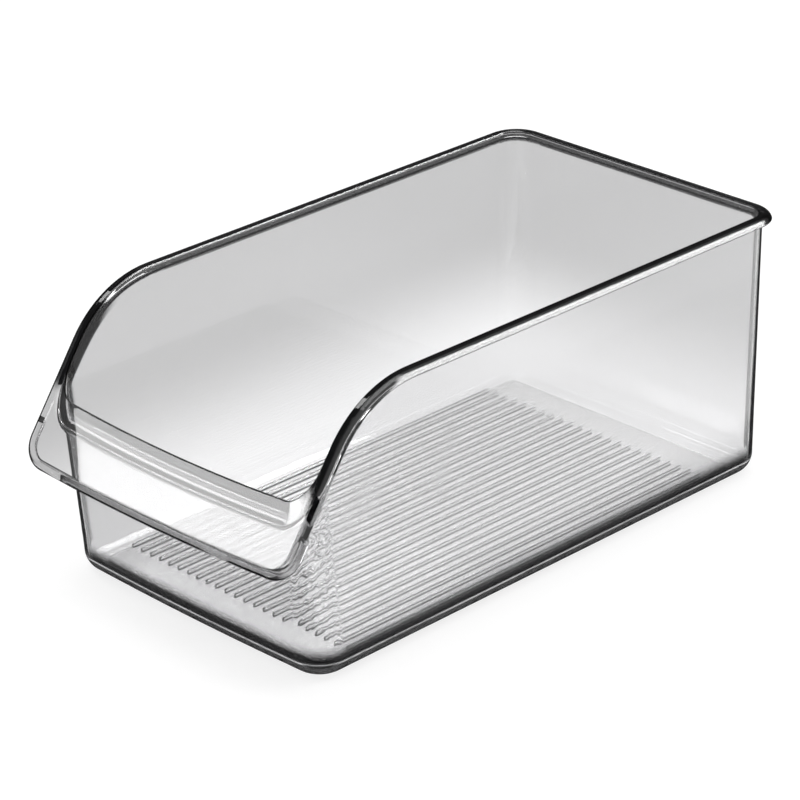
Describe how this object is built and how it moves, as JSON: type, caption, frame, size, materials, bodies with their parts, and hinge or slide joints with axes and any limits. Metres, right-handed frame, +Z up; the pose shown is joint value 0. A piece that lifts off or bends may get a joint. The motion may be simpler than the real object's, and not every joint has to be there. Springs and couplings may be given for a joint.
{
  "type": "storage drawer",
  "caption": "Clear open drawer for a fridge shelf with a low sloping front, an overhanging pull and a ribbed tray on its floor.",
  "frame": {"origin": "middle of the flat underside of the drawer's base", "axes": "+Z up, -Y towards the front and its pull, +X to the right as seen from the front"},
  "size_m": [0.1718, 0.3145, 0.13],
  "materials": {
    "tub_plastic": "clear, polished, faint grey tint, thick edges look dark",
    "tray_plastic": "clear, polished, fine scratches from use"
  },
  "bodies": {
    "drawer": {"drawer_tub": "tub_plastic"},
    "tray": {"floor_tray": "tray_plastic"}
  },
  "joints": [
    {"name": "tray_lift", "type": "slide", "parent": "drawer", "child": "tray", "axis": [0, 0, 1], "range_m": [0, 0.14]}
  ]
}
